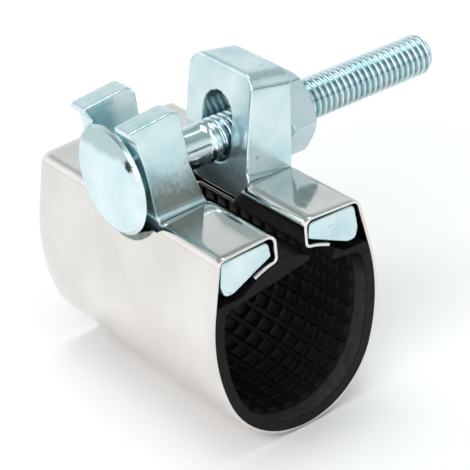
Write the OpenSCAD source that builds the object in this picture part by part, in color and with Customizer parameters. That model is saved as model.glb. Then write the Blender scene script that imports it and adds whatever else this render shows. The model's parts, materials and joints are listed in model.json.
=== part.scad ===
// Pipe repair clamp for one-inch pipe.
// A stainless band with a rubber gasket wraps the pipe. Its two ends are folded round cast
// lug bars. A large-headed bolt hooks into the forked lug, passes through the slotted lug
// and is drawn tight by a hex nut.
// Origin: pipe axis at mid length. X: along the bolt, nut side positive. Y: pipe axis. Z: up.

/* [Pipe and band] */
// radius of the pipe the clamp fits, mm
pipe_r = 16.7; // [16.5:0.1:17.0]
// thickness of the rubber gasket, mm
gasket_t = 3.0; // [2.0:0.1:4.0]
// thickness of the stainless band, mm
band_t = 0.7; // [0.5:0.1:1.0]
// length of the clamp along the pipe, mm
clamp_len = 66.8; // [60:0.2:76]
// half of the gap between the folded band ends, mm
gap_half = 3.6; // [3.0:0.1:4.5]

/* [Bolt and nut] */
// height of the bolt axis above the pipe axis, mm
bolt_z = 35.15; // [34:0.05:37]
// bolt diameter, three-eighths inch, mm
bolt_d = 9.525; // [9.525]
// diameter of the flat bolt head, mm
head_d = 24.8; // [24:0.1:27]
// X of the inner face of the bolt head, mm
head_x = -20.3; // [-22:0.1:-20.2]
// X of the threaded end of the bolt, mm
bolt_end_x = 65; // [60:0.5:70]
// nut size across its flats, mm
nut_af = 17.46; // [17.46]
// nut thickness, mm
nut_h = 7.4; // [6:0.1:9.2]

/* [Lugs] */
// half width of the upright part of each lug, mm
lug_half = 11.4; // [10.5:0.1:12]
// half width of the slotted hole, mm
hole_half = 5.2; // [5.0:0.1:5.4]
// half width of the open fork slot, mm
fork_half = 5.6; // [5.2:0.1:6]
// half length of each cast lug bar, mm
bar_half = 32.9; // [30:0.1:33]

/* [Hidden] */
$fn = 96;
big = 200;
band_r = pipe_r + gasket_t + band_t;
// the wall leaves the round bottom at this angle below horizontal
arc_end = 20;
// radius of the outside of each bulging side wall, its centre and its straight top part
side_r = 42;
side_cx = (band_r - side_r) * cos(arc_end);
side_cz = (side_r - band_r) * sin(arc_end);
side_top = 11.7;
wall_len = 12.6;
// the fold: height of its outer and inner top edges and radius of its returned flange
fold_z_out = 28.2;
fold_z_in = 28.9;
flange_r = 22.4;
flange_x = 9.8;
bend_r = 1.6;
// upright edges of the two side walls where they meet the fold
tx = side_cx + side_r * cos(side_top);
tz = side_cz + side_r * sin(side_top);
cx = tx - (fold_z_out - tz) * tan(side_top);
// the notch in each fold that lets the lug stand up through it
notch_half = 12.4;
notch_low = 6;
notch_down = 3;
// the seam at the bottom where the two halves of the band are told apart
seam_half = 0.2;
seam_tilt = 9;
// the gasket's outer surface under the folds and its bridging tongue
gasket_top_r = 22.1;
tongue_r_in = 19.2;
// the lining fills the shoulder between the wall and the cast bar up to this height
shoulder_z = 17.5;
tongue_tip_x = 4.6;
lining_end_x = 10.4;
bolt_r = bolt_d / 2;
nut_x = 19.75;
// centres of the slotted hole's two ends, and the floor of the fork slot
hole_top = 40.2;
hole_low = 34.9;
fork_floor = 28.6;
// the slotted lug's highest edge and the slope of its top
crest_x = 9.7;
crest_z = 52;
top_lean = 10.2;

// which node to draw

function unit(v) = v / norm(v);
function turn(v) = [-v[1], v[0]];

// points of a polygon with its corners rounded to the radii given
function bend_pts(a, b, c, r, n) =
    let (u = unit(a - b), w = unit(c - b))
    let (half = acos(max(-1, min(1, u * w))) / 2)
    let (mid = b + unit(u + w) * r / sin(half))
    let (s = b + u * r / tan(half) - mid)
    let (e = b + w * r / tan(half) - mid)
    let (sweep = 180 - 2 * half)
    let (way = s[0] * e[1] - s[1] * e[0] > 0 ? 1 : -1)
    [for (i = [0:n]) let (g = way * sweep * i / n)
        mid + [s[0] * cos(g) - s[1] * sin(g), s[0] * sin(g) + s[1] * cos(g)]];

module rounded(pts, radii, n = 6) {
    count = len(pts);
    out = [for (i = [0:count - 1])
        let (a = pts[(i + count - 1) % count], b = pts[i], c = pts[(i + 1) % count])
        radii[i] > 0 ? bend_pts(a, b, c, radii[i], n) : [b]];
    polygon([for (part = out) for (q = part) q]);
}

// a slab along the pipe, drawn from a section in X and Z
module along(half) {
    rotate([90, 0, 0])
        translate([0, 0, -half])
            linear_extrude(2 * half)
                children();
}

// the right half of the space inside the band's surface, a depth inside its outer face
module inside_half(depth) {
    intersection() {
        circle(band_r - depth);
        translate([0, -big])
            square([big, big]);
    }
    intersection() {
        translate([side_cx, side_cz])
            circle(side_r - depth);
        polygon([
            [0, 0],
            [big * cos(arc_end), -big * sin(arc_end)],
            [side_cx + big * cos(side_top + 5), side_cz + big * sin(side_top + 5)],
            [0, side_cz - side_cx * tan(side_top + 5)]
        ]);
    }
    wall_in_x = side_cx + (side_r - depth) * cos(side_top);
    wall_in_z = side_cz + (side_r - depth) * sin(side_top);
    polygon([
        [0, side_cz - side_cx * tan(side_top)],
        [wall_in_x, wall_in_z],
        [wall_in_x - wall_len * sin(side_top), wall_in_z + wall_len * cos(side_top)],
        [0, wall_in_z + wall_len * cos(side_top)]
    ]);
}

// section of the pocket that the fold encloses, grown by a margin towards its outside
module pocket(grow) {
    top_in = fold_z_in - band_t + grow;
    top_out = fold_z_out - band_t + grow;
    inner = gap_half + band_t - grow;
    low = sqrt(pow(flange_r + band_t - grow, 2) - pow(inner, 2));
    wall = cx - band_t + grow;
    slope = tan(side_top);
    difference() {
        rounded([
            [inner, low - 2],
            [inner, top_in],
            [wall + (fold_z_out - top_out) * slope, top_out],
            [wall + (fold_z_out - tz) * slope + 0.01, tz],
            [inner + 4, tz]
        ], [0, bend_r + grow, bend_r + grow, 0, 0]);
        circle(flange_r + band_t - grow);
    }
}

// section of the wall that wraps the pipe on the right
module wall_section() {
    difference() {
        inside_half(0);
        inside_half(band_t);
        translate([0, fold_z_out - 3])
            square([big, big]);
    }
}

// section of the fold round the cast bar
module fold_section() {
    difference() {
        pocket(band_t);
        pocket(0);
        translate([flange_x, 0])
            square([big, fold_z_out - 4]);
    }
}

// cut that tells the moving half from the fixed half at the bottom seam
module seam_cut() {
    polygon([
        [-seam_half, -big],
        [-seam_half, -band_r],
        [-seam_half - 10 * tan(seam_tilt), -band_r + 10],
        [-seam_half - 10 * tan(seam_tilt), 0],
        [big, 0],
        [big, -big]
    ]);
}

// window in the fold where the upright of the lug comes through
module notch() {
    along(notch_half)
        translate([0, fold_z_out - notch_down])
            square([cx + 1.2, 10]);
    rotate([90, 0, 90])
        translate([0, 0, gap_half - 1])
            linear_extrude(3)
                rounded([
                    [-notch_half, fold_z_in + 2],
                    [-notch_half, fold_z_in - 1.2],
                    [-notch_low, flange_r - 1],
                    [notch_low, flange_r - 1],
                    [notch_half, fold_z_in - 1.2],
                    [notch_half, fold_z_in + 2]
                ], [0, 1.5, 0.6, 0.6, 1.5, 0]);
}

// right half of the band, mirrored for the left half
module band_half() {
    difference() {
        union() {
            along(clamp_len / 2)
                wall_section();
            along(clamp_len / 2)
                fold_section();
        }
        notch();
    }
}

module band_fixed() {
    color([0.78, 0.77, 0.74])
        band_half();
}

module band_moving() {
    color([0.74, 0.73, 0.70])
        difference() {
            mirror([1, 0, 0])
                band_half();
            along(clamp_len)
                seam_cut();
        }
}

// section of the lining under one side of the band, up to the fold
module lining_section() {
    difference() {
        intersection() {
            inside_half(band_t);
            union() {
                circle(gasket_top_r);
                translate([0, shoulder_z - big])
                    square([big, big]);
            }
        }
        inside_bore();
    }
}

// the space inside the lining, round at the bottom and eased open towards the top
module inside_bore() {
    difference() {
        inside_half(band_t + gasket_t);
        difference() {
            translate([0, 5])
                square([big, big]);
            circle(tongue_r_in);
        }
    }
}

module gasket_fixed() {
    color([0.06, 0.06, 0.06])
        along(clamp_len / 2)
            difference() {
                lining_section();
                translate([-1, 0])
                    square([lining_end_x + 1, big]);
            }
}

// the moving lining has a tapered tongue that bridges the gap between the folds
module gasket_moving() {
    color([0.08, 0.08, 0.08]) {
        along(clamp_len / 2)
            difference() {
                mirror([1, 0])
                    lining_section();
                seam_cut();
            }
        along(clamp_len / 2)
            tongue();
    }
}

module tongue() {
    polygon([
        [-3, gasket_top_r - 0.6],
        [0.6, gasket_top_r - 0.6],
        [tongue_tip_x, gasket_top_r - 2],
        [tongue_tip_x, tongue_r_in + 0.1],
        [-3, tongue_r_in + 0.1]
    ]);
}

// section of the cast bar that lies in the fold, and of the upright that grows from it
module bar_section() {
    rounded([
        [4.8, 23.6],
        [5.4, 27.2],
        [17.3, 27.0],
        [18.0, 21.5],
        [17.2, 18.9],
        [14.9, 18.9]
    ], [0.8, 1.2, 1.4, 1.5, 1.2, 0.8]);
}

module upright_section() {
    rounded([
        [4.8, 23.6],
        [5.6, 29.5],
        [6.5, 36],
        [8, 43.9],
        [crest_x, crest_z],
        [19.7, 50.2],
        [19.3, 47.5],
        [17.9, 29.2],
        [17.5, 27.5],
        [17.4, 22.5],
        [10, 22.5]
    ], [0.8, 0, 0, 0, 1, 1, 0, 0, 0, 0, 0]);
}

// front outline of the slotted lug, wider at its foot
module upright_front(top) {
    rounded([
        [-lug_half - 0.6, 18],
        [-lug_half - 0.6, 28.6],
        [-lug_half, 30],
        [-lug_half, top],
        [lug_half, top],
        [lug_half, 30],
        [lug_half + 0.6, 28.6],
        [lug_half + 0.6, 18]
    ], [0, 0, 0, 4.2, 4.8, 0, 0, 0]);
}

// leans an outline to the slope of the slotted lug's top
module lean() {
    translate([crest_x, 0, crest_z])
        rotate([0, top_lean, 0])
            translate([-crest_x, 0, -crest_z])
                children();
}

module across(low, high) {
    rotate([90, 0, 90])
        translate([0, 0, low])
            linear_extrude(high - low)
                children();
}

module slotted_lug() {
    color([0.72, 0.76, 0.78])
        difference() {
            union() {
                along(bar_half)
                    bar_section();
                intersection() {
                    along(lug_half + 1)
                        upright_section();
                    lean()
                        across(-5, 35)
                            upright_front(crest_z);
                }
            }
            across(0, 30)
                union() {
                    translate([0, hole_top])
                        circle(hole_half);
                    translate([-hole_half, hole_low])
                        square([2 * hole_half, hole_top - hole_low]);
                    translate([0, hole_low])
                        circle(hole_half);
                }
        }
}

module fork_section() {
    rounded([
        [-4.8, 23.6],
        [-10, 22.5],
        [-17.4, 22.5],
        [-17.5, 27.5],
        [-17.9, 29.2],
        [-18.7, 37],
        [-19.5, 43],
        [-20.1, 47.0],
        [-21.9, 49.0],
        [-21.9, 50.0],
        [-9.0, 51.4],
        [-8.8, 46.5],
        [-8.1, 38],
        [-6.3, 32],
        [-5.2, 28]
    ], [0.8, 0, 0, 0, 0, 0, 0, 1, 0.4, 0.4, 2.4, 0, 0, 0, 0]);
}

module fork_lug() {
    color([0.72, 0.76, 0.78])
        difference() {
            union() {
                along(bar_half)
                    mirror([1, 0])
                        bar_section();
                intersection() {
                    along(lug_half + 1)
                        fork_section();
                    across(-30, 0)
                        rounded([
                            [-lug_half - 0.6, 18],
                            [-lug_half - 0.6, 28.6],
                            [-lug_half, 30],
                            [-lug_half + 0.4, 52],
                            [lug_half - 0.4, 52],
                            [lug_half, 30],
                            [lug_half + 0.6, 28.6],
                            [lug_half + 0.6, 18]
                        ], [0, 0, 0, 0.8, 0.8, 0, 0, 0]);
                }
            }
            across(-30, 0)
                translate([-fork_half, fork_floor])
                    square([2 * fork_half, 30]);
        }
}

// flat bolt head with a small raised dome, square neck, plain shank and thread
module elevator_bolt() {
    head_r = head_d / 2;
    rim = 0.8;
    dome = 0.9;
    dome_r = (head_r * head_r + dome * dome) / (2 * dome);
    neck_len = 7.5;
    thread_x = 3.5;
    tip = 1.3;
    color([0.75, 0.79, 0.80])
        translate([0, 0, bolt_z])
            rotate([0, 90, 0]) {
                translate([0, 0, head_x - rim])
                    cylinder(h = rim, r = head_r);
                intersection() {
                    translate([0, 0, head_x - rim - dome + dome_r])
                        sphere(dome_r);
                    translate([0, 0, head_x - rim - dome])
                        cylinder(h = dome + 0.2, r = head_r - 0.35);
                }
                translate([-bolt_r, -bolt_r, head_x - 0.1])
                    cube([bolt_d, bolt_d, neck_len + 0.1]);
                translate([0, 0, head_x])
                    cylinder(h = thread_x - head_x, r = bolt_r - 0.05);
                translate([0, 0, thread_x])
                    cylinder(h = bolt_end_x - tip - thread_x, r = bolt_r);
                translate([0, 0, bolt_end_x - tip])
                    cylinder(h = tip, r1 = bolt_r, r2 = bolt_r - tip);
            }
}

module hex_nut() {
    corner_r = nut_af / sqrt(3);
    bore_r = bolt_r + 0.06;
    // corners are rounded off by a cone at both faces
    slope = 1.7;
    color([0.72, 0.78, 0.80])
        translate([nut_x, 0, bolt_z])
            rotate([0, 90, 0])
                difference() {
                    intersection() {
                        rotate([0, 0, 30])
                            linear_extrude(nut_h)
                                polygon([for (i = [0:5]) corner_r * [cos(60 * i), sin(60 * i)]]);
                        cylinder(h = nut_h, r1 = nut_af / 2 + slope * nut_h, r2 = nut_af / 2 - 0.1);
                        cylinder(h = nut_h, r1 = nut_af / 2 - 0.1, r2 = nut_af / 2 + slope * nut_h);
                    }
                    translate([0, 0, -1])
                        cylinder(h = nut_h + 2, r = bore_r);
                    translate([0, 0, -0.01])
                        cylinder(h = 0.6, r1 = bore_r + 0.6, r2 = bore_r);
                    translate([0, 0, nut_h - 0.59])
                        cylinder(h = 0.6, r1 = bore_r, r2 = bore_r + 0.6);
                }
}

band_fixed();
band_moving();
gasket_fixed();
gasket_moving();
slotted_lug();
fork_lug();
elevator_bolt();
hex_nut();
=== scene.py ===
"""Looks of the pipe repair clamp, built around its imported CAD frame."""
import json
import math

import bmesh
import bpy
import numpy as np
from mathutils import Matrix, Vector


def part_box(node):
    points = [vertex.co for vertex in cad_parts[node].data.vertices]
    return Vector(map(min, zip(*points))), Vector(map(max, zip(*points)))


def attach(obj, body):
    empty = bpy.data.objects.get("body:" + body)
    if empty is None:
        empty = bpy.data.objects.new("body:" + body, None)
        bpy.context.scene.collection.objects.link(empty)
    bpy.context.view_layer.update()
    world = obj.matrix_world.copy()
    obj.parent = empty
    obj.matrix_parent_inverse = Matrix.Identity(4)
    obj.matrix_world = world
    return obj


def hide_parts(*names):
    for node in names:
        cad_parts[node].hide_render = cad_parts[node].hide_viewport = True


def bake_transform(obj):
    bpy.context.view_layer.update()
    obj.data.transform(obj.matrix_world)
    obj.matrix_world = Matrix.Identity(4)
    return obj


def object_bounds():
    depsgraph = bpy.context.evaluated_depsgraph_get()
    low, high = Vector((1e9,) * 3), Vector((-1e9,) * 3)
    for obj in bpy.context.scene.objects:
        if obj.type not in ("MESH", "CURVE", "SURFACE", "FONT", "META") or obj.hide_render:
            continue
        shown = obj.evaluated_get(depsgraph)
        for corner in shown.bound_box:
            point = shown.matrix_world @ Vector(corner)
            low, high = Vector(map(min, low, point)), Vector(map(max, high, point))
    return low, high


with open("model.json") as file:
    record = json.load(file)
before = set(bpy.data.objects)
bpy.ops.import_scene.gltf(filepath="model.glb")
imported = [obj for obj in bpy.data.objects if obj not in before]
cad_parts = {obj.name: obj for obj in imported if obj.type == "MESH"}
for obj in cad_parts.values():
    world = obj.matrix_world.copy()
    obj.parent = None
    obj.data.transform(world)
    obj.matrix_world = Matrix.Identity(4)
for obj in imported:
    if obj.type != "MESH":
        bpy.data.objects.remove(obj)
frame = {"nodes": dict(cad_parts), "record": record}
cad_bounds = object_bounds()

MM = 0.001


def in_mm(metres):
    """A length of the frame in millimetres, to the hundredth."""
    return round(metres / MM, 2)


# ---------------------------------------------------------------- sizes, in millimetres
BOLT_LOW, BOLT_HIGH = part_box("elevator_bolt")
HALF_LEN = in_mm(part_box("band_fixed")[1][1])             # half the clamp's length along the pipe
SHEET = 0.7                                              # stainless band thickness
RUBBER = 3.0                                             # gasket thickness
BORE_R = frame["record"]["mounts"][0]["dims"]["r_mm"]    # pipe radius
BAND_R = BORE_R + RUBBER + SHEET
ARC_END = math.radians(-20)           # where the round bottom meets the bulging side walls
SIDE_R = 42.0                         # outside of the side wall's bulge
SIDE_TOP = math.radians(11.7)         # the bulge's arc turns this far, then the wall goes straight on up
FOLD_OUT_Z, FOLD_IN_Z = 28.2, 28.9    # top of the fold at its outer and inner corner
GAP_HALF = 3.6                        # half the gap between the two folds
BEND_R = 1.6                          # inside of the fold's bends
FLANGE_R = 22.4                       # inner face of the flange returned under the lug's bar
FLANGE_X = 9.8                        # its tip
FLANGE_BEND_X = FLANGE_X * 0.62       # where it leaves its corner
NOTCH_HALF, NOTCH_LOW = 12.25, 6.0    # half width of the opening for a lug, and low on the inner wall
NOTCH_Z = 25.9                        # its lower edge on the outer wall
GASKET_TOP_R = 22.1                   # outside of the lining under the flange
SHOULDER_Z = 17.6                     # top of the lining beside the bars
BOLT_Z = in_mm((BOLT_LOW[2] + BOLT_HIGH[2]) / 2)
BOLT_R = 4.7625                       # 3/8 inch bolt, 16 threads per inch
PITCH = 1.5875
SHANK_R = BOLT_R - 0.06
HEAD_R = in_mm(BOLT_HIGH[1])
HEAD_X = -20.3                        # underside of the head
HEAD_FACE_X = HEAD_X - 0.95
PUNCH_MARK = (HEAD_FACE_X, -8.3, BOLT_Z + 6.3)
THREAD_X = 3.5                        # start of the thread
BOLT_END_X = in_mm(BOLT_HIGH[0])

# centre of the side wall's arc, which meets the round bottom without a corner
SIDE_C = Vector(((BAND_R - SIDE_R) * math.cos(ARC_END), (BAND_R - SIDE_R) * math.sin(ARC_END)))


# ---------------------------------------------------------------- mesh helpers
def add_mesh(name, points, faces, material, smooth=True):
    """A new mesh object from points in millimetres."""
    mesh = bpy.data.meshes.new(name)
    mesh.from_pydata([tuple(MM * c for c in p) for p in points], [], faces)
    mesh.validate()
    mesh.materials.append(material)
    mesh.polygons.foreach_set("use_smooth", [smooth] * len(mesh.polygons))
    mesh.update()
    obj = bpy.data.objects.new(name, mesh)
    bpy.context.scene.collection.objects.link(obj)
    return obj


def bevel(obj, width, segments, sharpest):
    """Rounds the edges that turn by more than an angle in degrees."""
    edge = obj.modifiers.new("edge", "BEVEL")
    edge.width = width * MM
    edge.segments = segments
    edge.limit_method = "ANGLE"
    edge.angle_limit = math.radians(sharpest)


def apply_modifiers(obj):
    """Bakes the object's modifiers into its mesh."""
    graph = bpy.context.evaluated_depsgraph_get()
    mesh = bpy.data.meshes.new_from_object(obj.evaluated_get(graph))
    obj.modifiers.clear()
    obj.data = mesh


def grid_faces(rows, cols, keep=lambda r, c: True, wrap_cols=False):
    """Quads of a rows x cols grid of points."""
    last = cols if wrap_cols else cols - 1
    return [
        (r * cols + c, r * cols + (c + 1) % cols, (r + 1) * cols + (c + 1) % cols, (r + 1) * cols + c)
        for r in range(rows - 1)
        for c in range(last)
        if keep(r, c)
    ]


def arc(cx, cz, r, a0, a1, steps):
    """Points of an arc in X and Z, both ends included."""
    return [
        (cx + r * math.cos(a0 + (a1 - a0) * i / steps), cz + r * math.sin(a0 + (a1 - a0) * i / steps))
        for i in range(steps + 1)
    ]


def round_corners(points, radii, steps):
    """An open line with its inner corners rounded to the radii given."""
    out = [points[0]]
    for i in range(1, len(points) - 1):
        a, b, c = Vector(points[i - 1]), Vector(points[i]), Vector(points[i + 1])
        r = radii[i]
        if r <= 0:
            out.append(tuple(b))
            continue
        u, w = (a - b).normalized(), (c - b).normalized()
        half = math.acos(max(-1, min(1, u.dot(w)))) / 2
        mid = b + (u + w).normalized() * r / math.sin(half)
        s, e = b + u * r / math.tan(half) - mid, b + w * r / math.tan(half) - mid
        sweep = math.atan2(s.x * e.y - s.y * e.x, s.dot(e))
        for k in range(steps + 1):
            g = sweep * k / steps
            out.append((
                mid.x + s.x * math.cos(g) - s.y * math.sin(g),
                mid.y + s.x * math.sin(g) + s.y * math.cos(g),
            ))
    out.append(points[-1])
    return out


def spaced(a, b, n):
    """Places from a to b in n equal steps, both ends included."""
    return [a + (b - a) * i / n for i in range(n + 1)]


def smoothstep(t):
    """0 to 1, easing in and out."""
    return t * t * (3 - 2 * t)


# ---------------------------------------------------------------- material helpers
class Nodes:
    """Short calls for building one material's node tree."""

    def __init__(self, name):
        self.mat = bpy.data.materials.new(name)
        self.mat.use_nodes = True
        self.tree = self.mat.node_tree
        self.bsdf = self.tree.nodes["Principled BSDF"]
        self.coord = self.tree.nodes.new("ShaderNodeTexCoord").outputs["Object"]

    def add(self, kind, inputs=None, **props):
        node = self.tree.nodes.new(kind)
        for key, value in props.items():
            setattr(node, key, value)
        for key, value in (inputs or {}).items():
            self.set(node, key, value)
        return node

    def set(self, node, key, value):
        if isinstance(value, bpy.types.NodeSocket):
            self.tree.links.new(value, node.inputs[key])
        else:
            node.inputs[key].default_value = value

    def noise(self, scale, detail=4.0, rough=0.5, stretch=(1, 1, 1), shift=(0, 0, 0)):
        place = self.add("ShaderNodeMapping", {"Vector": self.coord, "Scale": stretch, "Location": shift})
        node = self.add(
            "ShaderNodeTexNoise",
            {"Vector": place.outputs[0], "Scale": scale, "Detail": detail, "Roughness": rough},
        )
        return node.outputs["Fac"]

    def ramp(self, fac, stops):
        node = self.add("ShaderNodeValToRGB", {"Fac": fac})
        ramp = node.color_ramp
        while len(ramp.elements) < len(stops):
            ramp.elements.new(0.5)
        for element, (place, colour) in zip(ramp.elements, stops):
            element.position = place
            element.color = (*colour, 1) if len(colour) == 3 else colour
        return node.outputs["Color"]

    def spread(self, fac, low, high, fac_low=0.0, fac_high=1.0):
        node = self.add(
            "ShaderNodeMapRange",
            {"Value": fac, "From Min": fac_low, "From Max": fac_high, "To Min": low, "To Max": high},
        )
        return node.outputs["Result"]

    def mix(self, fac, a, b, blend="MIX"):
        node = self.add("ShaderNodeMix", data_type="RGBA", blend_type=blend)
        self.set(node, "Factor", fac)
        self.set(node, 6, a if isinstance(a, bpy.types.NodeSocket) else (*a, 1))
        self.set(node, 7, b if isinstance(b, bpy.types.NodeSocket) else (*b, 1))
        return node.outputs[2]

    def bump(self, height, distance, strength=1.0, below=None):
        inputs = {"Height": height, "Distance": distance, "Strength": strength}
        if below is not None:
            inputs["Normal"] = below
        return self.add("ShaderNodeBump", inputs).outputs["Normal"]

    def corner_shade(self, reach, open_from=0.35, open_to=0.85):
        """The mask for painted shade: 0 deep in a hole or corner and 1 in the open."""
        node = self.add("ShaderNodeAmbientOcclusion", {"Distance": reach}, samples=8)
        return self.spread(node.outputs["AO"], 0, 1, open_from, open_to)

    def along(self, axis):
        """The place along one axis of the object's own frame, in metres."""
        return self.add("ShaderNodeSeparateXYZ", {"Vector": self.coord}).outputs[axis]

    def product(self, a, b):
        return self.add("ShaderNodeMath", {0: a, 1: b}, operation="MULTIPLY").outputs[0]

    def total(self, a, b):
        return self.add("ShaderNodeMath", {0: a, 1: b}, operation="ADD").outputs[0]

    def done(self, **inputs):
        for key, value in inputs.items():
            self.set(self.bsdf, key.replace("_", " "), value)
        return self.mat


def stainless():
    """Bright cold-rolled stainless: warm pale grey with faint rolling lines and handling marks, painted
    shade in corners and a painted shadow below the bolt head.
    """
    n = Nodes("stainless_band")
    cloud = n.noise(60, 3)
    lines = n.noise(900, 3, 0.6, stretch=(1, 0.05, 1))
    marks = n.noise(420, 6, 0.7, shift=(3, 1, 2))
    tint = n.ramp(cloud, [(0.3, (0.70, 0.665, 0.635)), (0.7, (0.80, 0.775, 0.75))])
    colour = n.mix(n.spread(marks, 0, 0.35, 0.62, 0.75), tint, (0.50, 0.46, 0.42))
    # painted shade: dark green-grey in corners and close gaps, such as between the bars and the sheet
    colour = n.mix(n.corner_shade(0.0022, 0.35, 0.75), (0.12, 0.14, 0.13), colour)
    # painted shadow and reflection of the bolt head: a dark crescent on the outside of the left wall, just
    # below the head
    centre = Vector((-19.5, -0.8, BOLT_Z - 0.9)) * MM
    away = n.add("ShaderNodeVectorMath", {0: n.coord, 1: centre}, operation="SUBTRACT").outputs[0]
    flat = n.add("ShaderNodeVectorMath", {0: away, 1: (0, 1, 1)}, operation="MULTIPLY").outputs[0]
    reach = n.add("ShaderNodeVectorMath", {0: flat}, operation="LENGTH").outputs["Value"]
    disc = n.spread(reach, 1, 0, 0.0127, 0.0130)
    outside = n.spread(n.along(0), 1, 0, -0.0185, -0.0180)
    painted_head_shadow = n.ramp(marks, [(0.4, (0.05, 0.07, 0.065)), (0.6, (0.22, 0.27, 0.25))])
    colour = n.mix(n.product(n.product(disc, outside), 0.9), colour, painted_head_shadow)
    rough = n.spread(lines, 0.06, 0.13, 0.3, 0.7)
    normal = n.bump(lines, 0.00001, 0.2)
    normal = n.bump(marks, 0.00002, 0.15, normal)
    return n.done(Base_Color=colour, Metallic=1.0, Roughness=rough, Normal=normal)


def cast_zinc(name, painted_reflection_low=False):
    """Zinc-plated casting: pale bluish silver with a fine grain and a few pits, and painted shade in holes
    and corners.
    """
    n = Nodes(name)
    cloud = n.noise(120, 4)
    grain = n.noise(3000, 3, 0.6)
    pits = n.noise(620, 2, 0.4, shift=(5, 2, 1))
    tint = n.ramp(cloud, [(0.3, (0.49, 0.69, 0.74)), (0.5, (0.63, 0.78, 0.81)), (0.7, (0.75, 0.85, 0.87))])
    colour = n.mix(n.spread(pits, 0, 0.5, 0.68, 0.75), tint, (0.24, 0.30, 0.32))
    if painted_reflection_low:
        # painted reflection of the dark parts below: a grey patch low on the fork's near face, with a
        # ragged upper edge
        height = n.total(n.along(2), n.spread(n.noise(900, 5, 0.7), -0.0022, 0.0022, 0.3, 0.7))
        low = n.product(n.spread(height, 1, 0, 0.0325, 0.0400), n.spread(n.along(2), 0, 1, 0.0293, 0.0303))
        near = n.spread(n.along(1), 1, 0, -0.0112, -0.0106)
        colour = n.mix(n.product(n.product(low, near), 0.88), colour, (0.19, 0.225, 0.21))
    # painted shade: dark teal deep in holes and corners, such as the bolt hole
    colour = n.mix(n.corner_shade(0.005, 0.15, 0.7), (0.26, 0.52, 0.57), colour)
    rough = n.spread(grain, 0.16, 0.26, 0.3, 0.7)
    normal = n.bump(grain, 0.00003, 0.14)
    normal = n.bump(pits, 0.00006, 0.25, normal)
    return n.done(Base_Color=colour, Metallic=0.85, Roughness=rough, Normal=normal)


def plated_steel(name, shade=1.0, mark=None):
    """Bright blue-white zinc plate. Given a punch mark, it has painted shade in the mark and a painted
    darker reflection above it.
    """
    n = Nodes(name)
    cloud = n.noise(140, 4)
    fine = n.noise(2200, 3, 0.6)
    blues = [(0.3, (0.58, 0.75, 0.79)), (0.55, (0.68, 0.81, 0.84)), (0.75, (0.76, 0.84, 0.89))]
    tint = n.ramp(cloud, blues)
    tint = n.mix(1.0, tint, (shade, shade, shade), "MULTIPLY")
    if mark:
        # painted reflection: the plate is darker above a ragged line through the punch mark
        edge = n.total(n.along(2), n.spread(n.noise(260, 3), -0.0007, 0.0007, 0.3, 0.7))
        tint = n.mix(n.spread(edge, 0, 1, mark[2] - 0.0006, mark[2] + 0.0010), tint, (0.44, 0.57, 0.58))
        # painted shade: nearly black in the punch mark's shallow dimple
        away = n.add("ShaderNodeVectorMath", {0: n.coord, 1: mark}, operation="DISTANCE").outputs["Value"]
        away = n.total(away, n.spread(n.noise(1800, 4, 0.7), -0.0004, 0.0004, 0.3, 0.7))
        tint = n.mix(n.spread(away, 0, 1, 0.0010, 0.0016), (0.035, 0.05, 0.04), tint)
    # painted shade: dark blue-green in corners and tight gaps
    colour = n.mix(n.corner_shade(0.0012, 0.3, 0.9), (0.10, 0.30, 0.34), tint)
    rough = n.spread(fine, 0.12, 0.22, 0.3, 0.7)
    normal = n.bump(fine, 0.00002, 0.3)
    return n.done(Base_Color=colour, Metallic=1.0, Roughness=rough, Normal=normal)


def rubber():
    """Black moulded rubber, a little dusty."""
    n = Nodes("gasket_rubber")
    cloud = n.noise(90, 4)
    fine = n.noise(1500, 4, 0.6)
    dust = n.noise(500, 5, 0.7, shift=(1, 4, 2))
    base = n.ramp(cloud, [(0.3, (0.0040, 0.0040, 0.0042)), (0.7, (0.0080, 0.0080, 0.0076))])
    dusty = n.spread(dust, 0.45, 1, 0.35, 0.75)
    # dust lies on the plain borders, from the pads to just short of the ends, and not up at the top
    pads_end, sheet_end = (HALF_LEN - BORDER) * MM, HALF_LEN * MM
    reach = n.add("ShaderNodeMath", {0: n.along(1)}, operation="ABSOLUTE").outputs[0]
    past_pads = n.spread(reach, 0, 1, pads_end - 0.0004, pads_end + 0.0004)
    short_of_end = n.spread(reach, 1, 0, sheet_end - 0.0005, sheet_end - 0.0001)
    border = n.product(n.product(past_pads, short_of_end), n.spread(n.along(2), 1, 0, 0.008, 0.014))
    colour = n.mix(n.product(dusty, n.spread(border, 0.04, 1)), base, (0.065, 0.064, 0.060))
    rough = n.spread(fine, 0.42, 0.60, 0.3, 0.7)
    normal = n.bump(fine, 0.00005, 0.4)
    return n.done(Base_Color=colour, Roughness=rough, Normal=normal, Specular_IOR_Level=0.12)


# ---------------------------------------------------------------- sections in X and Z
def wall_radius(angle, depth):
    """Distance from the pipe axis to a surface a depth inside the right wall's outer face."""
    if angle <= ARC_END:
        return BAND_R - depth
    u = Vector((math.cos(angle), math.sin(angle)))
    reach = SIDE_R - depth
    along = u.dot(SIDE_C)
    r = along + math.sqrt(along * along - SIDE_C.length_squared + reach * reach)
    p = u * r - SIDE_C
    if math.atan2(p.y, p.x) <= SIDE_TOP:
        return r
    n = Vector((math.cos(SIDE_TOP), math.sin(SIDE_TOP)))
    return (n.dot(SIDE_C) + reach) / n.dot(u)


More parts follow.
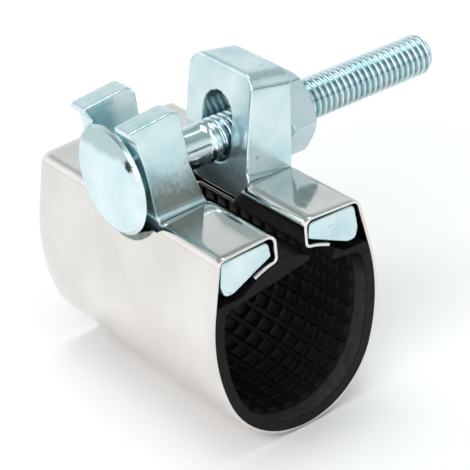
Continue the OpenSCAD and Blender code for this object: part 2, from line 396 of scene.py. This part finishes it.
def band_half_section():
    """Middle of the sheet on the right, from the bottom to the tip of the returned flange."""
    mid = SHEET / 2
    bottom = arc(0, 0, BAND_R - mid, -math.pi / 2, ARC_END, 36)
    side = arc(SIDE_C.x, SIDE_C.y, SIDE_R - mid, ARC_END, SIDE_TOP, 20)
    n = Vector((math.cos(SIDE_TOP), math.sin(SIDE_TOP)))
    start = SIDE_C + n * (SIDE_R - mid)
    up = Vector((-n.y, n.x))
    top_z = FOLD_OUT_Z - mid
    corner = start + up * ((top_z - start.y) / up.y)
    inner_x = GAP_HALF + mid
    ring = FLANGE_R + mid
    foot_z = math.sqrt(ring * ring - inner_x * inner_x)
    line = round_corners(
        [
            tuple(start),
            tuple(corner),
            (inner_x, FOLD_IN_Z - mid),
            (inner_x, foot_z),
            (FLANGE_BEND_X, math.sqrt(ring * ring - FLANGE_BEND_X ** 2)),
        ],
        [0, BEND_R + mid, BEND_R + mid, 1.0, 0],
        steps=8,
    )
    end = math.acos(FLANGE_X / ring)
    first = math.acos(line[-1][0] / ring)
    flange = arc(0, 0, ring, first, end, 5)
    path = bottom + side[1:] + line[1:] + flange[1:]
    return refine(path, 1.2)


def refine(path, longest):
    """The same line with no step longer than the length given."""
    out = [path[0]]
    for a, b in zip(path, path[1:]):
        n = max(1, math.ceil(math.dist(a, b) / longest))
        out += [(a[0] + (b[0] - a[0]) * i / n, a[1] + (b[1] - a[1]) * i / n) for i in range(1, n + 1)]
    return out


def notch_half(point, on_inner_wall):
    """Half width of the opening for the lug at a place on the fold, or None where the sheet is whole."""
    x, z = point
    low, high = FLANGE_R - 1.0, FOLD_IN_Z - 1.2
    inner_wall_x, fold_x = GAP_HALF + 2.0, 5.0
    if on_inner_wall and z > low and x < inner_wall_x:
        share = min(1, (z - low) / (high - low))
        return NOTCH_LOW + (NOTCH_HALF - NOTCH_LOW) * share
    if z >= NOTCH_Z and x > fold_x:
        return NOTCH_HALF
    return None


def make_band(material):
    """The whole band as one bent sheet, open at the notches where the lugs stand."""
    half = band_half_section()
    top = max(range(len(half)), key=lambda i: half[i][1])
    left = [(-x, z) for x, z in reversed(half[1:])]
    path = left + half
    widths = [notch_half(p, i >= top) for i, p in enumerate(half)]
    widths = widths[:0:-1] + widths
    open_rows = [w is not None for w in widths]
    cut_rows = [i for i, cut in enumerate(open_rows) if cut]
    # away from the notches the columns of the grid ease back to the notch's full width
    ease_rows = 12
    column_halves = []
    for i in range(len(widths)):
        near = min(cut_rows, key=lambda j: abs(j - i))
        share = min(1, abs(near - i) / ease_rows)
        column_halves.append(widths[near] + (NOTCH_HALF - widths[near]) * share)
    outer = spaced(0, 1, 12)
    inner = spaced(-1, 1, 14)
    points, rows = [], len(path)
    for (x, z), w in zip(path, column_halves):
        ys = [-HALF_LEN + (HALF_LEN - w) * t for t in outer]
        ys += [w * t for t in inner[1:-1]]
        ys += [w + (HALF_LEN - w) * t for t in outer]
        points += [(x, y, z) for y in ys]
    cols = len(points) // rows
    first, last = len(outer) - 1, cols - len(outer)

    def whole(r, c):
        return not (open_rows[r] and open_rows[r + 1] and first <= c < last)

    faces = grid_faces(rows, cols, whole)
    obj = add_mesh("band_sheet", points, faces, material)
    solid = obj.modifiers.new("thickness", "SOLIDIFY")
    solid.thickness = SHEET * MM
    solid.offset = 0
    solid.use_even_offset = True
    bevel(obj, 0.13, 2, 50)
    apply_modifiers(obj)
    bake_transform(obj)
    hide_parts("band_fixed", "band_moving")


# ---------------------------------------------------------------- gasket
BASE = 2.2               # rubber thickness in the grooves between the pads
PAD_RISE = 0.8
CELL = 4.35              # pitch of the pads
GROOVE_HALF = 0.55
SLOPE = 0.32             # width of a pad's sloping side
BORDER = 4.2             # plain border at each end along the pipe
PLAIN_END = 5.0          # plain strip at each end of the sheet, around the pipe
TONGUE_TAPER = 4.5       # length over which the overlapping tongue thins
TIP_THIN_IN, TIP_THIN_OUT = 0.7, 1.5
RIGHT_END = math.atan2(18.4, 10.8)
TONGUE_TIP = math.atan2(19.6, 4.4) - 2 * math.pi
ROOF_Z, ROOF_FALL = 18.6, 0.16    # underside of the lining over the bore, lower towards the sides
UPPER_WALL = 0.3         # direction above which the roof and the shoulder limit the lining
CLEAR_OF_BAND = 0.04


def soft_min(a, b, ease):
    """The smaller of two lengths, eased where they cross."""
    h = max(ease - abs(a - b), 0) / ease
    return min(a, b) - h * h * ease / 4


def gasket_radii(angle):
    """Inner and outer radius of the rubber in a direction from the pipe axis, on the right side."""
    steep = min(angle, math.radians(85))
    inner = wall_radius(steep, SHEET + BASE)
    outer = wall_radius(steep, SHEET + CLEAR_OF_BAND)
    if angle > UPPER_WALL:
        roof = ROOF_Z / (math.sin(angle) + ROOF_FALL * max(0, math.cos(angle)))
        inner = soft_min(inner, roof, 2.5)
        over = max(GASKET_TOP_R, SHOULDER_Z / math.sin(angle))
        outer = soft_min(outer, over, 1.0)
    return inner, outer


def cell_steps(start, stop, count):
    """Places across a run of cells, closer where a pad's side slopes."""
    size = (stop - start) / count
    marks = [0] + [GROOVE_HALF + SLOPE * t for t in (0, 0.35, 0.65, 1)] + [size / 2]
    one = marks + [size - m for m in reversed(marks[1:-1])]
    out = [start + i * size + m for i in range(count) for m in one]
    return out + [stop], size


def pad(place, start, stop, size):
    """0 in a groove, 1 on a pad."""
    if not start < place < stop:
        return 0.0
    m = (place - start) % size
    m = min(m, size - m)
    return smoothstep(max(0, min(1, (m - GROOVE_HALF) / SLOPE)))


def make_gasket(material):
    """The whole lining as one closed waffle sheet, from the tongue's tip round to the right end."""
    fine = spaced(TONGUE_TIP, RIGHT_END, 720)

    def side(angle):
        """The radii anywhere round the pipe: the left side mirrors the right."""
        return gasket_radii(angle if angle >= -math.pi / 2 else -math.pi - angle)

    def polar(r, angle, y):
        return r * math.cos(angle), y, r * math.sin(angle)

    lengths = [0.0]
    for a, b in zip(fine, fine[1:]):
        lengths.append(lengths[-1] + math.dist(polar(side(a)[0], a, 0), polar(side(b)[0], b, 0)))
    total = lengths[-1]
    start, stop = PLAIN_END, total - PLAIN_END
    around, size_u = cell_steps(start, stop, round((stop - start) / CELL))
    around = spaced(0, start, 6)[:-1] + around + spaced(stop, total, 6)[1:]
    low, high = -HALF_LEN + BORDER, HALF_LEN - BORDER
    lengthwise, size_v = cell_steps(low, high, round((high - low) / CELL))
    lengthwise = spaced(-HALF_LEN, low, 6)[:-1] + lengthwise + spaced(high, HALF_LEN, 6)[1:]
    inside = []
    for s in around:
        angle = float(np.interp(s, lengths, fine))
        inner, outer = side(angle)
        # the tongue thins towards its tip
        thin = max(0, 1 - s / TONGUE_TAPER)
        rise = PAD_RISE * pad(s, start, stop, size_u)
        inside.append((angle, inner + TIP_THIN_IN * thin, outer - TIP_THIN_OUT * thin, rise))
    points = [
        polar(inner - rise * pad(y, low, high, size_v), angle, y)
        for angle, inner, _, rise in inside for y in lengthwise
    ]
    n_in = len(points)
    cols = len(lengthwise)
    points += [polar(outer, angle, y) for angle, _, outer, _ in inside for y in lengthwise]
    faces = [tuple(reversed(f)) for f in grid_faces(len(inside), cols)]
    faces += [tuple(n_in + i for i in f) for f in grid_faces(len(inside), cols)]
    last = (len(inside) - 1) * cols
    for c in range(cols - 1):
        faces.append((c + 1, c, n_in + c, n_in + c + 1))
        faces.append((last + c, last + c + 1, n_in + last + c + 1, n_in + last + c))
    for r in range(len(inside) - 1):
        a, b = r * cols, (r + 1) * cols
        faces.append((a, b, n_in + b, n_in + a))
        a, b = a + cols - 1, b + cols - 1
        faces.append((b, a, n_in + a, n_in + b))
    obj = add_mesh("gasket_waffle", points, faces, material)
    bevel(obj, 0.3, 3, 60)
    apply_modifiers(obj)
    # the bevel may overshoot the ends a little
    for vertex in obj.data.vertices:
        vertex.co.y = max(-HALF_LEN * MM, min(HALF_LEN * MM, vertex.co.y))
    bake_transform(obj)
    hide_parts("gasket_fixed", "gasket_moving")


# ---------------------------------------------------------------- castings
def make_casting(name, node, body, material, voxel, smoothing):
    """A soft-edged casting or forging with the CAD node's exact shape as its base."""
    source = frame["nodes"][node]
    mesh = source.data.copy()
    mesh.name = name
    mesh.materials.clear()
    mesh.materials.append(material)
    obj = bpy.data.objects.new(name, mesh)
    bpy.context.scene.collection.objects.link(obj)
    skin = obj.modifiers.new("skin", "REMESH")
    skin.mode = "VOXEL"
    skin.voxel_size = voxel * MM
    skin.use_smooth_shade = True
    soft = obj.modifiers.new("soft", "SMOOTH")
    soft.factor = 0.5
    soft.iterations = smoothing
    apply_modifiers(obj)
    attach(obj, body)
    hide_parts(node)


# ---------------------------------------------------------------- bolt
def thread_radius(phase, major, minor):
    """Radius along one pitch of a vee thread with a rounded root and a flat crest."""
    crest, flank = 0.16, 0.74
    p = abs((phase % 1.0) * 2 - 1)
    t = max(0.0, min(1.0, (p - crest) / flank))
    t = smoothstep(t) * 0.35 + t * 0.65
    return major + (minor - major) * t


def make_thread(material):
    """Shank and rolled thread: every row of points follows the helix."""
    sides, per_pitch = 72, 12
    major, minor = BOLT_R - 0.01, BOLT_R - 0.90
    start, stop = THREAD_X, BOLT_END_X
    run_in, tip, tip_cut = 3.0, 1.5, 0.95
    turns = math.ceil((stop - start) / PITCH) + 2
    points = []
    rows = turns * per_pitch + 1
    for i in range(rows):
        for k in range(sides):
            turn = k / sides
            x = start - PITCH + PITCH * (i / per_pitch + turn)
            x = min(stop, max(start, x))
            r = thread_radius(i / per_pitch, major, minor)
            ease = min(1, (x - start) / run_in)
            r = SHANK_R + (r - SHANK_R) * ease
            if x > stop - tip:
                r = min(r, major - tip_cut + (stop - x) * tip_cut / tip)
            if x >= stop - 1e-9:
                r = major - tip_cut - 0.02
            a = 2 * math.pi * turn
            points.append((x, -r * math.sin(a), BOLT_Z + r * math.cos(a)))
    # each turn's last column joins the first column one pitch further on
    faces = []
    for i in range(rows - 1):
        a, d = i * sides, (i + 1) * sides
        faces += [(a + k, a + k + 1, d + k + 1, d + k) for k in range(sides - 1)]
        if i + 1 + per_pitch < rows:
            on = per_pitch * sides
            faces.append((a + sides - 1, a + on, d + on, d + sides - 1))
    obj = add_mesh("bolt_thread", points, faces, material)
    work = bmesh.new()
    work.from_mesh(obj.data)
    bmesh.ops.remove_doubles(work, verts=work.verts, dist=0.01 * MM)
    bmesh.ops.dissolve_degenerate(work, edges=work.edges, dist=0.001 * MM)
    loose = [v for v in work.verts if not v.link_faces]
    bmesh.ops.delete(work, geom=loose, context="VERTS")
    bmesh.ops.holes_fill(work, edges=[e for e in work.edges if e.is_boundary], sides=0)
    bmesh.ops.recalc_face_normals(work, faces=work.faces)
    work.to_mesh(obj.data)
    work.free()
    obj.data.polygons.foreach_set("use_smooth", [True] * len(obj.data.polygons))
    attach(obj, "bolt")
    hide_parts("elevator_bolt")


def lathe_x(name, profile, material, sides=192):
    """A turned piece about the bolt axis from (x, radius) points; both ends lie on the axis."""
    points = [(profile[0][0], 0, BOLT_Z)]
    for x, r in profile[1:-1]:
        points += [
            (x, r * math.sin(2 * math.pi * k / sides), BOLT_Z + r * math.cos(2 * math.pi * k / sides))
            for k in range(sides)
        ]
    points.append((profile[-1][0], 0, BOLT_Z))
    rings = len(profile) - 2
    faces = [(0, 1 + k, 1 + (k + 1) % sides) for k in range(sides)]
    faces += [tuple(1 + i for i in f) for f in grid_faces(rings, sides, wrap_cols=True)]
    base = 1 + (rings - 1) * sides
    end = len(points) - 1
    faces += [(end, base + (k + 1) % sides, base + k) for k in range(sides)]
    obj = add_mesh(name, points, faces, material)
    work = bmesh.new()
    work.from_mesh(obj.data)
    bmesh.ops.recalc_face_normals(work, faces=work.faces)
    work.to_mesh(obj.data)
    work.free()
    return obj


def make_head(material):
    """Thin flat head: a nearly flat face inside a chamfered rim, with a small punch mark."""
    face, crown, face_r, edge_r = HEAD_FACE_X, 0.2, HEAD_R - 0.9, 0.14
    mark_r, mark_deep = 1.5, 0.3
    profile = [(face - crown * (1 - (r / face_r) ** 2), r) for r in spaced(0, face_r, 48)]
    for a in spaced(0, math.radians(70), 5)[1:]:
        profile.append((face + edge_r * (1 - math.cos(a)), face_r + edge_r * math.sin(a)))
    profile += [(HEAD_X - 0.42, HEAD_R - 0.12), (HEAD_X - 0.32, HEAD_R - 0.03), (HEAD_X - 0.2, HEAD_R)]
    profile += [(HEAD_X - 0.06, HEAD_R - 0.06), (HEAD_X, HEAD_R - 0.2)]
    profile += [(HEAD_X, HEAD_R * t) for t in (0.9, 0.75, 0.6)]
    profile.append((HEAD_X, 0))
    obj = lathe_x("bolt_head", profile, material)
    mark = Vector(PUNCH_MARK) * MM
    for vertex in obj.data.vertices:
        away = ((vertex.co.y - mark.y) ** 2 + (vertex.co.z - mark.z) ** 2) ** 0.5 / MM
        if vertex.co.x < (face + 0.2) * MM and away < mark_r:
            vertex.co.x += mark_deep * (1 + math.cos(math.pi * away / mark_r)) / 2 * MM
    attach(obj, "bolt")


def make_neck(material):
    """Square neck under the head that turns into the round shank."""
    neck_end, square_half, sharpness = HEAD_X + 7.5, BOLT_R - 0.05, 8
    sides = 96
    # places along X, and how far the square has turned round there
    rows = [
        (HEAD_X - 0.05, 0), (HEAD_X + 0.4, 0), (neck_end - 0.9, 0), (neck_end - 0.45, 0.25),
        (neck_end, 0.75), (neck_end + 0.3, 1), (THREAD_X - 6, 1), (THREAD_X - 2, 1), (THREAD_X + 0.01, 1),
    ]
    points = []
    for x, blend in rows:
        for k in range(sides):
            a = 2 * math.pi * k / sides
            c, s = math.cos(a), math.sin(a)
            square = square_half * (abs(c) ** sharpness + abs(s) ** sharpness) ** (-1 / sharpness)
            r = square * (1 - blend) + SHANK_R * blend
            points.append((x, r * s, BOLT_Z + r * c))
    faces = grid_faces(len(rows), sides, wrap_cols=True)
    faces.append(tuple(range(sides)))
    faces.append(tuple(reversed(range((len(rows) - 1) * sides, len(rows) * sides))))
    obj = add_mesh("bolt_neck", points, faces, material)
    obj.data.polygons[len(obj.data.polygons) - 1].use_smooth = False
    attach(obj, "bolt")


# ---------------------------------------------------------------- stage
def make_stage():
    """Plain pale floor and soft studio light."""
    floor_z = cad_bounds[0][2] / MM
    reach = 4000
    mat = bpy.data.materials.new("stage_floor")
    mat.use_nodes = True
    shader = mat.node_tree.nodes["Principled BSDF"]
    shader.inputs["Base Color"].default_value = (1.0, 0.975, 0.975, 1)
    shader.inputs["Roughness"].default_value = 0.9
    corners = [(x * reach, y * reach, floor_z) for x, y in ((-1, -1), (1, -1), (1, 1), (-1, 1))]
    add_mesh("stage_floor", corners, [(0, 1, 2, 3)], mat, smooth=False)

    world = bpy.data.worlds.new("studio")
    bpy.context.scene.world = world
    world.use_nodes = True
    tree = world.node_tree
    back = tree.nodes["Background"]
    coord = tree.nodes.new("ShaderNodeTexCoord")
    split = tree.nodes.new("ShaderNodeSeparateXYZ")
    tree.links.new(coord.outputs["Generated"], split.inputs[0])

    def levels(source, stops):
        ramp = tree.nodes.new("ShaderNodeValToRGB")
        tree.links.new(source, ramp.inputs["Fac"])
        while len(ramp.color_ramp.elements) < len(stops):
            ramp.color_ramp.elements.new(0.5)
        for element, (place, colour) in zip(ramp.color_ramp.elements, stops):
            element.position = place
            element.color = (*colour, 1)
        return ramp.outputs["Color"]

    def fade(source, low, high, at_low, at_high):
        node = tree.nodes.new("ShaderNodeMapRange")
        tree.links.new(source, node.inputs["Value"])
        limits = {"From Min": low, "From Max": high, "To Min": at_low, "To Max": at_high}
        for key, value in limits.items():
            node.inputs[key].default_value = value
        return node.outputs["Result"]

    # bright to the horizon, with a darker ceiling and a darker side towards +X
    rise = levels(split.outputs["Z"], [
        (0.0, (1.0, 1.0, 1.0)), (0.30, (0.95, 0.96, 0.96)), (0.52, (0.80, 0.83, 0.83)),
        (0.70, (0.25, 0.29, 0.29)), (1.0, (0.45, 0.48, 0.48))])
    mix = tree.nodes.new("ShaderNodeMix")
    mix.data_type = "RGBA"
    tree.links.new(fade(split.outputs["X"], -0.2, 0.9, 0, 0.5), mix.inputs["Factor"])
    tree.links.new(rise, mix.inputs[6])
    mix.inputs[7].default_value = (0.22, 0.34, 0.35, 1)
    # a dark card low in front, which draws the dark lines along the rounded edges
    card = tree.nodes.new("ShaderNodeVectorMath")
    card.operation = "DOT_PRODUCT"
    tree.links.new(coord.outputs["Generated"], card.inputs[0])
    card.inputs[1].default_value = Vector((0.50, -0.86, 0.0))
    cover = tree.nodes.new("ShaderNodeMath")
    cover.operation = "MULTIPLY"
    tree.links.new(fade(card.outputs["Value"], 0.80, 0.90, 0, 1), cover.inputs[0])
    tree.links.new(fade(split.outputs["Z"], 0.12, 0.22, 1, 0), cover.inputs[1])
    dark = tree.nodes.new("ShaderNodeMix")
    dark.data_type = "RGBA"
    tree.links.new(cover.outputs[0], dark.inputs["Factor"])
    tree.links.new(mix.outputs[2], dark.inputs[6])
    dark.inputs[7].default_value = (0.02, 0.08, 0.09, 1)
    tree.links.new(dark.outputs[2], back.inputs["Color"])
    back.inputs["Strength"].default_value = 1.22

    def softbox(name, place, side, watts):
        """A square light aimed at the object."""
        light = bpy.data.lights.new(name, "AREA")
        light.shape = "RECTANGLE"
        light.size, light.size_y = side, side
        light.energy = watts
        obj = bpy.data.objects.new(name, light)
        bpy.context.scene.collection.objects.link(obj)
        obj.location = place
        obj.rotation_euler = (-Vector(place)).to_track_quat("-Z", "Y").to_euler()

    softbox("key_left", (-0.9, -0.5, 0.6), 0.9, 4.2)
    softbox("top", (0.1, 0.1, 1.1), 0.7, 5.0)
    bpy.context.scene.view_settings.view_transform = "Standard"


def make_camera():
    """A viewpoint from the left and above, looking along the pipe."""
    turn, lift, roll = math.radians(-33.9), math.radians(29.35), math.radians(-5.69)
    back = Vector((math.sin(turn) * math.cos(lift), -math.cos(turn) * math.cos(lift), math.sin(lift)))
    level = Vector((0, 0, 1)).cross(back).normalized()
    rise = back.cross(level)
    right = level * math.cos(roll) + rise * math.sin(roll)
    up = rise * math.cos(roll) - level * math.sin(roll)
    aim, distance = Vector((6.71, -3.13, 11.94)) * MM, 455.4 * MM
    data = bpy.data.cameras.new("camera")
    data.sensor_width = 36
    data.lens = 158.6
    data.clip_start, data.clip_end = 0.01, 50
    cam = bpy.data.objects.new("camera", data)
    bpy.context.scene.collection.objects.link(cam)
    turn_matrix = Matrix((right, up, back)).transposed().to_4x4()
    cam.matrix_world = Matrix.Translation(aim + back * distance) @ turn_matrix
    bpy.context.scene.camera = cam


make_camera()
make_stage()
steel, casting, black = stainless(), cast_zinc("cast_zinc"), rubber()
# the fork's casting carries a painted dark reflection low on its near face
fork_casting = cast_zinc("cast_zinc_fork", painted_reflection_low=True)
plated, nut_plate = plated_steel("plated_steel"), plated_steel("plated_nut", 0.86)
head_plate = plated_steel("plated_head", 1.05, Vector(PUNCH_MARK) * MM)
make_band(steel)
make_gasket(black)
make_casting("lug_slotted", "slotted_lug", "fixed_half", casting, voxel=0.26, smoothing=5)
make_casting("lug_forked", "fork_lug", "fork", fork_casting, voxel=0.26, smoothing=5)
make_casting("nut_hex", "hex_nut", "nut", nut_plate, voxel=0.2, smoothing=3)
make_thread(plated)
make_head(head_plate)
make_neck(plated)
